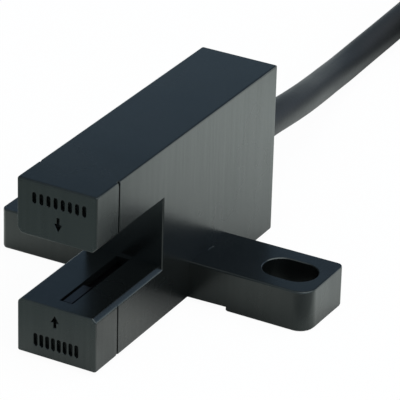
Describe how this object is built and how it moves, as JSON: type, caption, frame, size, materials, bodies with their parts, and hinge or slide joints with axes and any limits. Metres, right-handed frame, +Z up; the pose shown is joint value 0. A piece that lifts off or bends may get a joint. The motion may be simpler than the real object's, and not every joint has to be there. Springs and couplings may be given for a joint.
{
  "type": "slot type photo sensor",
  "caption": "Black fork-shaped photo sensor with a sensing slot open at the front and sides, a mounting bar with obround screw slots across it, and a fixed cable from the rear.",
  "frame": {"origin": "under the middle of the case, on the surface that its two feet stand on", "axes": "+Z up through both arms, +X along the mounting bar, +Y from the slot's mouth to the cable"},
  "size_m": [0.0708, 0.1522, 0.0223],
  "materials": {
    "housing": "satin, finely textured, black",
    "window": "smooth, passes infrared",
    "holder": "dull black",
    "board": "green solder mask",
    "emitter_resin": "clear, slightly blue",
    "receiver_resin": "black, passes infrared",
    "chip_body": "dull black",
    "ceramic": "fired ceramic",
    "resistor": "glazed black",
    "solder": "bright tin",
    "metal": "plated",
    "rubber": "dull",
    "sheath": "soft black sheath, satin",
    "tie": "black strap",
    "brown": "core insulation",
    "black": "core insulation",
    "blue": "core insulation"
  },
  "bodies": {
    "root": {"case": "housing", "rear_cover": "housing", "emitter_window": "window", "receiver_window": "window", "emitter_holder": "holder", "receiver_holder": "holder", "infrared_emitter": "emitter_resin", "photo_receiver": "receiver_resin", "circuit_board": "board", "amplifier_chip": "chip_body", "output_transistor": "chip_body", "voltage_regulator": "chip_body", "protection_diode": "chip_body", "resistor_1": "resistor", "resistor_2": "resistor", "resistor_3": "resistor", "resistor_4": "resistor", "capacitor_1": "ceramic", "capacitor_2": "ceramic", "solder_joint_brown": "solder", "solder_joint_black": "solder", "solder_joint_blue": "solder", "inner_core_brown": "brown", "inner_core_black": "black", "inner_core_blue": "blue", "cable_entry": "sheath", "cable_clamp": "metal", "cable_bushing": "rubber", "cable": "sheath", "cable_coil": "sheath", "coil_tie_1": "tie", "coil_tie_2": "tie", "cable_tail": "sheath", "end_core_brown": "brown", "end_core_black": "black", "end_core_blue": "blue"}
  },
  "joints": []
}
